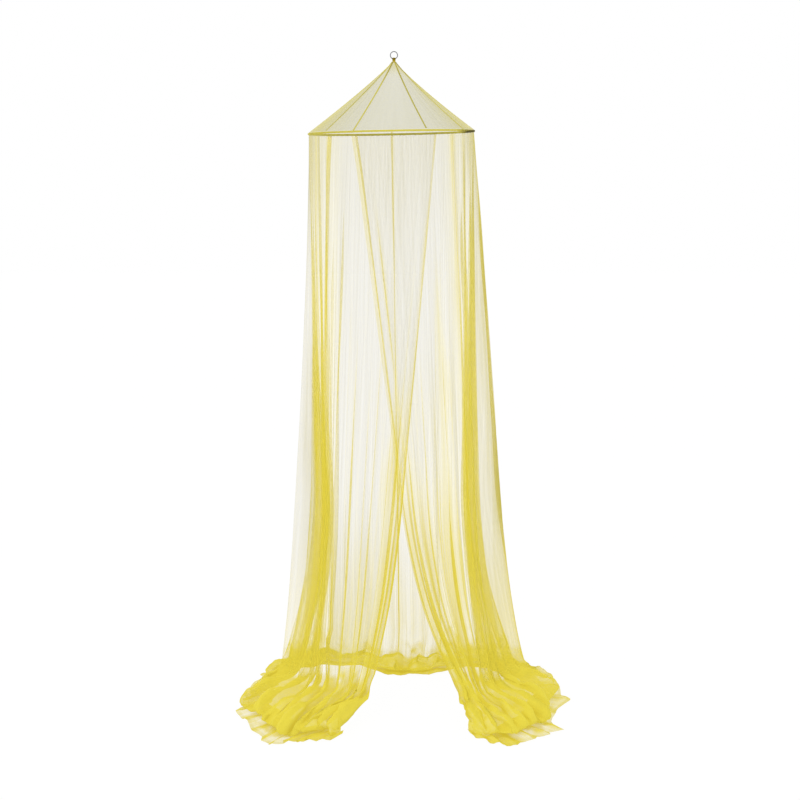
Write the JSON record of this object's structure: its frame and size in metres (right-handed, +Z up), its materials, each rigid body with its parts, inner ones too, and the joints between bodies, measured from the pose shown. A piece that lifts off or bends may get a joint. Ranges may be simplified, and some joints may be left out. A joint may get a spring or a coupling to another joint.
{
  "type": "mosquito net canopy with hoop",
  "caption": "Round mosquito net canopy with hoop: a net cone over one long wrap-round net skirt that crosses in front and lies in heaps on the floor.",
  "frame": {"origin": "where the ceiling hook bears, at the top inside the steel ring", "axes": "+Z up towards the ceiling, -Y the front, where the skirt's free edges cross, +X to the right seen from the front"},
  "size_m": [1.273, 0.89, 2.439],
  "materials": {
    "net": "sheer olive-yellow net",
    "tape": "woven olive tape",
    "steel": "bright steel wire"
  },
  "bodies": {
    "root": {"hanging_ring": "steel", "crown_loop": "tape", "cone_gore_1": "net", "cone_gore_2": "net", "cone_gore_3": "net", "cone_gore_4": "net", "seam_tape_1": "tape", "seam_tape_2": "tape", "seam_tape_3": "tape", "seam_tape_4": "tape", "hoop": "steel", "hoop_casing": "tape", "skirt": "net"}
  },
  "joints": []
}
